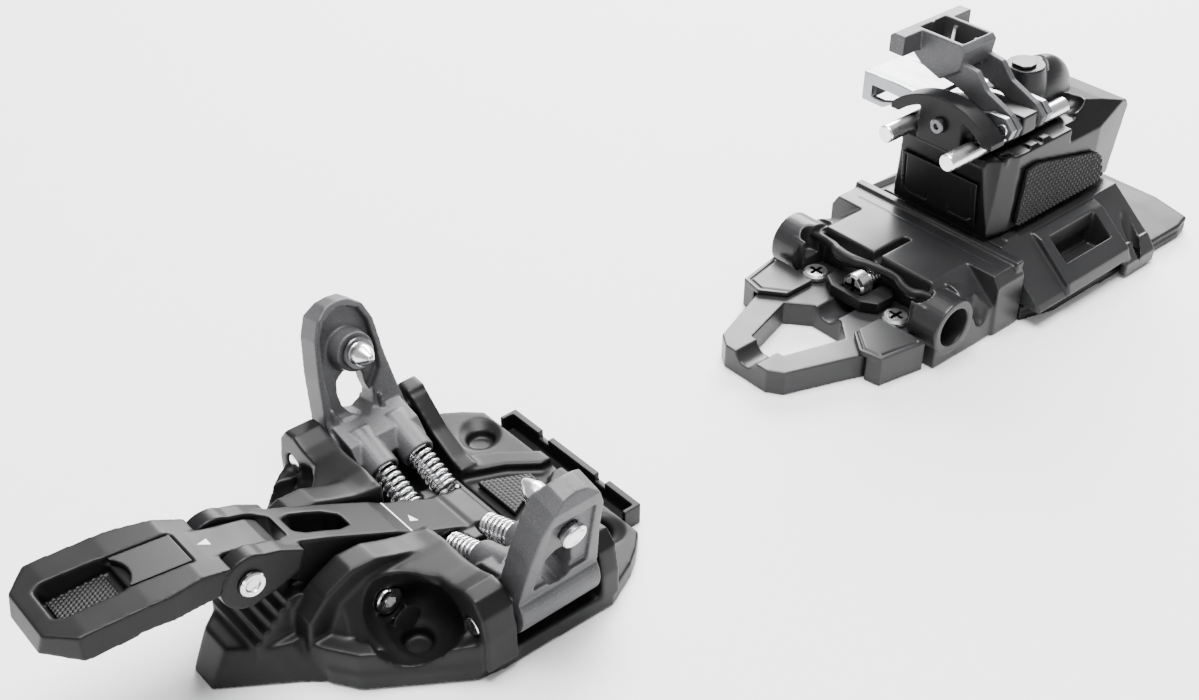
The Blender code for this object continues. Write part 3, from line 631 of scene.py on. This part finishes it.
def wing_skin(side, word, place):
    """The jaw casting: a bowl round the pin's boss, a window, a skirt over the barrels and a framed back.

    Its shapes are drawn about the closed jaw's hinge: u is the distance inwards and w the height.
    """

    def through(outline, inner, outer):
        low, high = sorted((-side * inner, -side * outer))
        return extruded(outline, low, high, "X", place)

    def across(u):
        return (-side * u, PIN_ACROSS, PIN_HEIGHT)

    bowl = [
        (-10.6, 12), (-10.3, 24), (-8.6, 36), (-6.2, 41), (-3, 43), (0, 43.4), (3, 43), (6.2, 41),
        (8.4, 36), (9.2, 25), (8.8, 19), (5, 14), (2, 9), (-3, 7.6), (-8, 8),
    ]
    panel = [(-8.6, 12), (-6.6, 36.4), (6.2, 36.4), (8.2, 12)]
    window = [
        (-3.8, 8.4), (-5.6, 11.4), (-6.2, 15.8), (-5.4, 20), (-2.6, 22), (1.6, 21.8), (3.6, 19.4),
        (3.8, 15.6), (4.6, 12.2), (3.6, 8.8), (0, 7.2),
    ]
    skirt = [(0.5, 10.5), (3.2, 7.8), (7.4, 3.6), (9.4, 2.0), (9.6, -1.6), (0.5, -2.4)]
    rear_rib = [(4.2, 0), (5.4, 12), (6.4, 12), (7.0, 0)]
    front_rib = [(-12.6, 0), (-11.4, 13), (-10.4, 13), (-9.6, 0)]
    dish = ball(across(-7.2), (4.6, 6.4, 6.4))
    dish.transform(Matrix.Scale(MM, 4) @ place @ Matrix.Scale(1 / MM, 4))
    steps = [
        (CUT, through(bowl, 1.6, 12)),
        (CUT, through(panel, -3.4, -8)),
        (JOIN, rod(across(0), across(7.4), 7.2, 6.3, place=place)),
        (JOIN, through(rear_rib, -2, 6.4)),
        (JOIN, through(front_rib, -2, 5.4)),
        (JOIN, extruded([(-side * u, w) for u, w in skirt], -8.6, 9.6, "Y", place)),
        (CUT, through(window, -14, 12)),
        (CUT, dish),
    ]
    node_name = f"wing_{word}"
    skin(node_name, CAST, voxel=0.36, rounds=7, shape=worked(node_name, steps))


def wings():
    pin = [
        (1.2, 0), (0.9, 1.6), (0.4, 2.6), (0, 3.1), (0, 3.6), (0.4, 4.0), (1.6, 4.1), (1.8, 3.6),
        (2.6, 3.15), (14.3, 3.15), (14.5, 3.3), (14.5, 4.9), (14.8, 5.2), (15.6, 5.2), (15.9, 4.9),
        (16.0, 3.8), (16.2, 3.6), (18.6, 3.45), (19.2, 3.2), (22.6, 1.2), (23.0, 0.7), (23.1, 0),
    ]
    x, y, z = WING_HINGE
    for side, word in SIDES:
        place = wing_frame(side)
        wing_skin(side, word, place)
        outer, middle, inner = (Vector((-side * u, PIN_ACROSS, PIN_HEIGHT)) for u in (-6.6, 0, 16.5))
        collar = (place @ middle, place @ inner, 3.95, DARK_STEEL)
        mesh = turned(outer, inner, pin, place=place)
        lathe(f"toe_pin_{word}_turned", f"toe_pin_{word}", mesh, SMOOTH, collar=collar)
        hinge = turned((side * x, y - 25.6, z), (side * x, y + 21.8, z), pin_profile(47.4, 3.0, 0.7))
        lathe(f"wing_hinge_pin_{word}_turned", f"wing_hinge_pin_{word}", hinge, CHROME)


def coil(name, start, end, ring_steps=28, wire_steps=10):
    """A wound spring with closed end turns."""
    first, last = Vector(start), Vector(end)
    axis = (last - first).normalized()
    across = Vector((0, 1, 0))
    up = axis.cross(across)
    length = (last - first).length - 2 * SPRING_WIRE
    closed_pitch = SPRING_WIRE * 2.1
    count = SPRING_TURNS * ring_steps
    dead = 1.2 * ring_steps
    open_length = length - 2 * dead / ring_steps * closed_pitch
    bm = bmesh.new()
    rings = []
    for i in range(count + 1):
        angle = 2 * math.pi * i / ring_steps
        live = min(max(i - dead, 0), count - 2 * dead) / (count - 2 * dead)
        closed = (min(i, dead) + max(i - (count - dead), 0)) / ring_steps
        along = SPRING_WIRE + live * open_length + closed * closed_pitch
        out = math.cos(angle) * across + math.sin(angle) * up
        centre = first + along * axis + SPRING_COIL * out
        ring = []
        for k in range(wire_steps):
            turn = 2 * math.pi * k / wire_steps
            ring.append(bm.verts.new(centre + SPRING_WIRE * (math.cos(turn) * out + math.sin(turn) * axis)))
        rings.append(ring)
    for ring, after in zip(rings, rings[1:]):
        for k in range(wire_steps):
            j = (k + 1) % wire_steps
            bm.faces.new((ring[k], ring[j], after[j], after[k]))
    bm.faces.new(rings[0][::-1])
    bm.faces.new(rings[-1])
    obj = linked(name, scaled(bm))
    shade(obj, 60)
    return obj


def toe_springs():
    for side, word in SIDES:
        for place, y in zip(("front", "rear"), SPRING_Y):
            cad = f"toe_spring_{word}_{place}"
            start = (side * SPRING_INNER[0], y, SPRING_INNER[1])
            end = (side * SPRING_OUTER[0], y, SPRING_OUTER[1])
            made = coil(f"{cad}_wound", start, end)
            settle(made, WIRE, cad)
            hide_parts(cad)


def toe_pins():
    y, z = PIVOT
    body = [
        (0, 0), (0, 1.9), (0.1, 1.9), (0.1, 3.9), (0.4, 4.4), (0.9, 4.6), (1.9, 4.6), (2.0, 3.0),
        (41.6, 3.0), (41.7, 4.6), (42.7, 4.6), (43.2, 4.4), (43.5, 3.9), (43.5, 1.9), (43.6, 1.9),
        (43.6, 0),
    ]
    sockets = [rod((side * 20.4, y, z), (side * 23, y, z), 1.9, steps=6) for side, _ in SIDES]
    mesh = turned((-21.8, y, z), (21.8, y, z), body)
    lathe("arm_pivot_pin_turned", "arm_pivot_pin", mesh, CHROME, sockets)
    y, z = RIVET
    rivet = [
        (0.9, 0), (0.9, 1.9), (0.2, 2.2), (0, 2.6), (0.1, 3.4), (0.5, 3.8), (1.3, 3.9), (1.4, 2.5),
        (26.6, 2.5), (26.7, 3.9), (27.5, 3.8), (27.9, 3.4), (28, 2.6), (27.8, 2.2), (27.1, 1.9), (27.1, 0),
    ]
    lathe("lever_rivet_turned", "lever_rivet", turned((-14, y, z), (14, y, z), rivet), CHROME)


# -------------------------------------------------------------- heel unit


def front_plate():
    skin("heel_plate", TOP_LIT_BLACK, voxel=0.4, rounds=6)
    groove = [(16, 169.6), (24.9, 162.9), (31.2, 164.2), (34.2, 180)]

    def edge(x, y, z):
        return line_cut(near(np.abs(x), y, groove), 0.4, 0.5)

    for _, word in SIDES:
        skin(f"side_pad_{word}", TOP_LIT_BLACK, voxel=0.3, rounds=4, reliefs=[(edge, (0, 0, 1))])
    skin("screw_retainer", MOULDED, voxel=0.3, rounds=4)
    wire = [
        ((-29, 193.9, 20), 1.8), ((-21, 193.9, 20), 1.8), ((-17, 192.6, 20.5), 1.8),
        ((-13.5, 191.0, 20.4), 2.3), ((-6, 191.0, 20.2), 2.3), ((-2, 192.6, 20.2), 1.8),
        ((3, 193.9, 20), 1.7), ((12, 193.9, 20), 1.7), ((16, 192.2, 19.6), 1.8),
        ((20.5, 191.8, 19.4), 1.9), ((24, 193.2, 19.8), 1.8), ((29, 193.9, 20), 1.8),
    ]
    tube("deck_wire_bent", wire, MOULDED, "deck_wire")


def brake_deck():
    joins = []
    cuts = []
    x, z = BRAKE_BARREL
    for side, _ in SIDES:
        joins.append(side_block(side, (25, 185, 1), (31, 199.5, 21.5)))
        joins.append(rod((side * x, 200.9, z), (side * x, 219, 12), 9.2, 5))
        cuts.append(rod((side * 26.4, 189.6, 14), (side * 26.4, 189.6, 30), 3.6))
        cuts.append(ball((side * 43, 209.6, 19), (9, 5.6, 13), side * 20, "Y"))
    cuts.append(block((-1.6, 190, 20), (1.6, 213, 30)))
    cuts.append(rod((0, 190, 15), (0, 235, 15), 2.9))

    def seam(x, y, z):
        return line_cut(near(x, y, [(-31.5, 221.5), (31.5, 221.5)]), 0.22, 0.3)

    skin("brake_deck", TOP_LIT_BLACK, joins, cuts, voxel=0.45, rounds=6, reliefs=[(seam, (0, 0, 1))])


def track_and_carriage():
    def rail(x, y, z):
        return line_cut(np.abs(z - 3.4), 0.5, 0.6)

    skin("heel_track", MOULDED, voxel=0.55, rounds=4, reliefs=[(rail, (1, 0, 0)), (rail, (-1, 0, 0))])
    pad = [(28.6, 25.3), (33.0, 24.0), (47.4, 12.0), (48.6, 7.6), (45, 6.6), (36, 8)]
    joins = []
    cuts = []
    for side, _ in SIDES:
        joins.append(extruded(mirrored(pad, side), 248.5, 287, "Y"))
        cuts.append(side_block(side, (32.6, 253.5, 9.5), (41.8, 281.5, 30)))
        joins.append(side_block(side, (23.2, 236.5, 25), (26.4, 243.5, 26.0)))
        cuts.append(rod((side * 47, 292, 4), (side * 33, 300, 29), 3.0))
    skin("carriage", TOP_LIT_BLACK, joins, cuts, voxel=0.45, rounds=6)


def mounting_screws():
    head = [(0, 0), (0, 4.5), (0.35, 4.85), (1.6, 4.9), (2.4, 4.1), (2.4, 0)]
    for side, word in SIDES:
        x, y = side * MOUNT_SCREW[0], MOUNT_SCREW[1]
        cross = [
            block((x - 3.0, y - 0.65, 10.4), (x + 3.0, y + 0.65, 14)),
            block((x - 0.65, y - 3.0, 10.4), (x + 0.65, y + 3.0, 14)),
        ]
        mesh = turned((x, y, 9.6), (x, y, 12), head)
        screw = lathe(f"mount_screw_{word}_turned", f"mount_screw_{word}", mesh, SMOOTH, cross)
        # The cross recess of the steel head is painted black as shade.
        paint_recess_shade(screw, (x - 3.2, y - 3.2, 10.2), (x + 3.2, y + 3.2, 11.9))


def length_screw():
    x, y, z = LENGTH_SCREW
    profile = [(0, 0), (0, 3.9), (0.8, 4.7), (5.4, 4.8), (6, 4.2), (6, 2.6)]
    along = 7.0
    while along < THREAD_END:
        profile += [(along, 2.6), (along + THREAD_PITCH / 3, 2.25), (along + THREAD_PITCH * 2 / 3, 2.6)]
        along += THREAD_PITCH
    profile += [(112, 2.4), (112, 0)]
    slots = [
        block((x - 3.7, y - 1, z - 0.85), (x + 3.7, y + 2.4, z + 0.85)),
        block((x - 0.85, y - 1, z - 3.7), (x + 0.85, y + 2.4, z + 3.7)),
    ]
    mesh = turned((x, y, z), (x, y + 112, z), profile, 48)
    screw = lathe("length_screw_turned", "length_screw", mesh, SMOOTH, slots)
    # The drive recess of the steel head is painted black as shade.
    paint_recess_shade(screw, (x - 4, y + 0.1, z - 4), (x + 4, y + 2.6, z + 4))


def turret_shell():
    """The housing with its pin channels, chamfered rear corners and small blocks, and the cap over it."""
    rear = [(12, 70), (24.6, 50.5), (32, 50.5), (32, 70)]
    joins = []
    cuts = []
    for side, _ in SIDES:
        cuts.append(rod((side * 13.8, 222, 64), (side * 13.8, 280, 64), 6.0))
        cuts.append(ball((side * 13.8, 280, 64), (6.0, 7.5, 6.0)))
        cuts.append(extruded(mirrored(rear, side), 271, 320, "Y"))
        cuts.append(rod((side * 26.8, 226, 22), (side * 23.6, 226, 60), 5.6))
        for start, top in ((233.5, 59.2), (247.2, 58.9), (254.5, 59.2)):
            joins.append(side_block(side, (18.9, start, 56), (22.6, start + 4.6, top)))
    skin("turret_housing", GLOSS, joins, cuts, voxel=0.42, rounds=6)
    shell = ball((0, 278, 59.4), (9.4, 19.5, 16.8), -7, "X")
    crown = [rod((0, 270.5, 62), (0, 270, 75.9), 9.0, 7.2)]
    under = [block((-12, 250, 40), (12, 300, 58.4))]

    def ring(x, y, z):
        return line_cut(np.abs(np.hypot(x, (y - 270) * 0.85) - 7.6), 0.45, 0.6)

    skin("turret_cap", SATIN, crown, under, voxel=0.3, rounds=12, reliefs=[(ring, (0, 0, 1))], shape=shell)
    skin("cap_insert", SATIN, voxel=0.15, rounds=8)


def turret_sides():
    corner = [(-15, 47.6), (-15.4, 34), (-13.5, 32.4), (-5.5, 32.4), (-4.6, 36)]

    def frame_line(x, y, z):
        return line_cut(near(np.abs(x) * -1, z, corner), 0.3, 0.35)

    def grip(x, y, z):
        return scales(y * 0.9 + z * 0.3, z, 1.9, 0.6)

    skin("front_panel", GLOSS, voxel=0.22, rounds=2, reliefs=[(frame_line, (0, -1, 0))])
    for side, word in SIDES:
        skin(f"side_grip_{word}", RUBBER, voxel=0.2, rounds=2, reliefs=[(grip, (side, 0, 0))])


def heel_pins():
    pin = [(0, 0), (0, 2.75), (0.5, 3.2), (0.8, 3.25), (66.5, 3.25), (67, 2.8), (67, 0)]
    for side, word in SIDES:
        x, y, z = side * HEEL_PIN[0], HEEL_PIN[1], HEEL_PIN[2]
        mesh = turned((x, y - 63, z), (x, y + 4, z), pin)
        lathe(f"heel_pin_{word}_turned", f"heel_pin_{word}", mesh, SMOOTH)


def bridge():
    """The arch over the heel pins, and its screw."""
    centre = (0, 45.6)
    half = [(9.5, 58.4), (9.5, 71.1)] + arc(centre, 27.3, 68, 46, 8) + [(19.8, 65.3), (22.4, 65.3)]
    half += arc(centre, 31.4, 44.4, 89, 16)
    z = BRIDGE_SCREW_Z
    holes = [rod((0, 220, z), (0, 228, z), 1.9), block((-12, 226, 56), (12, 232, 58.4))]
    arch = extruded(both_sides(half), 222.5, 230, "Y")
    skin("arch_bridge", PAINTED, cuts=holes, voxel=0.28, rounds=3, shape=arch)
    screw = [(0, 0), (0, 2.5), (0.3, 2.9), (1.8, 3.0), (1.8, 1.6), (7.1, 1.6), (7.1, 0)]
    socket = [rod((0, 219, z), (0, 221.4, z), 1.3, steps=6)]
    mesh = turned((0, 220.4, z), (0, 227.5, z), screw)
    lathe("bridge_screw_turned", "bridge_screw", mesh, DARK_STEEL, socket)


def climbing_aids():
    x, z = RISER_HINGE
    hinge = turned((x, 230.8, z), (x, 254.2, z), pin_profile(23.4, 2.2, 0.5))
    lathe("riser_hinge_pin_turned", "riser_hinge_pin", hinge, SMOOTH)
    skin("low_riser", SILVER, voxel=0.28, rounds=4)
    pocket = block((-22.9, 236, 82.2), (-4.9, 249, 95))
    web = extruded([(-8.2, 235), (-9.8, 235), (-19.8, 250), (-18.2, 250)], 80.6, 90.2)
    shape = worked("high_riser", [(CUT, pocket), (JOIN, web)])
    skin("high_riser", CAST, shape=shape, voxel=0.28, rounds=5)


# ------------------------------------------------------------------ stage


def studio():
    floor = bpy.data.meshes.new("floor")
    floor.from_pydata([(-6, -6, 0), (6, -6, 0), (6, 6, 0), (-6, 6, 0)], [], [(0, 1, 2, 3)])
    ground = linked("floor", floor)
    ground.location.z = -0.0002
    pale = finish("pale_floor", (0.86, 0.86, 0.865), (0.88, 0.88, 0.885), (0.75, 0.9), grain=300, bump=0.01)
    floor.materials.append(pale)
    world = bpy.data.worlds.new("studio")
    bpy.context.scene.world = world
    world.use_nodes = True
    back = world.node_tree.nodes["Background"]
    back.inputs["Color"].default_value = (1, 1, 1, 1)
    back.inputs["Strength"].default_value = SURROUND
    for name, (spot, size, power, aim) in LAMPS.items():
        lamp = bpy.data.lights.new(name, "AREA")
        lamp.shape = "RECTANGLE"
        lamp.size, lamp.size_y = size
        lamp.energy = power
        obj = linked(name, lamp)
        obj.location = spot
        obj.rotation_euler = (Vector(aim) - Vector(spot)).to_track_quat("-Z", "Y").to_euler()
    camera = bpy.data.cameras.new("camera")
    camera.lens = CAMERA["lens"]
    camera.sensor_width = CAMERA["sensor"]
    camera.clip_start = 0.01
    viewer = linked("camera", camera)
    viewer.location = CAMERA["spot"]
    viewer.rotation_euler = [math.radians(angle) for angle in CAMERA["turn"]]
    bpy.context.scene.camera = viewer


def main():
    toe_base()
    toe_arm()
    lever()
    wings()
    toe_springs()
    toe_pins()
    front_plate()
    brake_deck()
    track_and_carriage()
    mounting_screws()
    length_screw()
    turret_shell()
    turret_sides()
    heel_pins()
    bridge()
    climbing_aids()
    studio()


main()
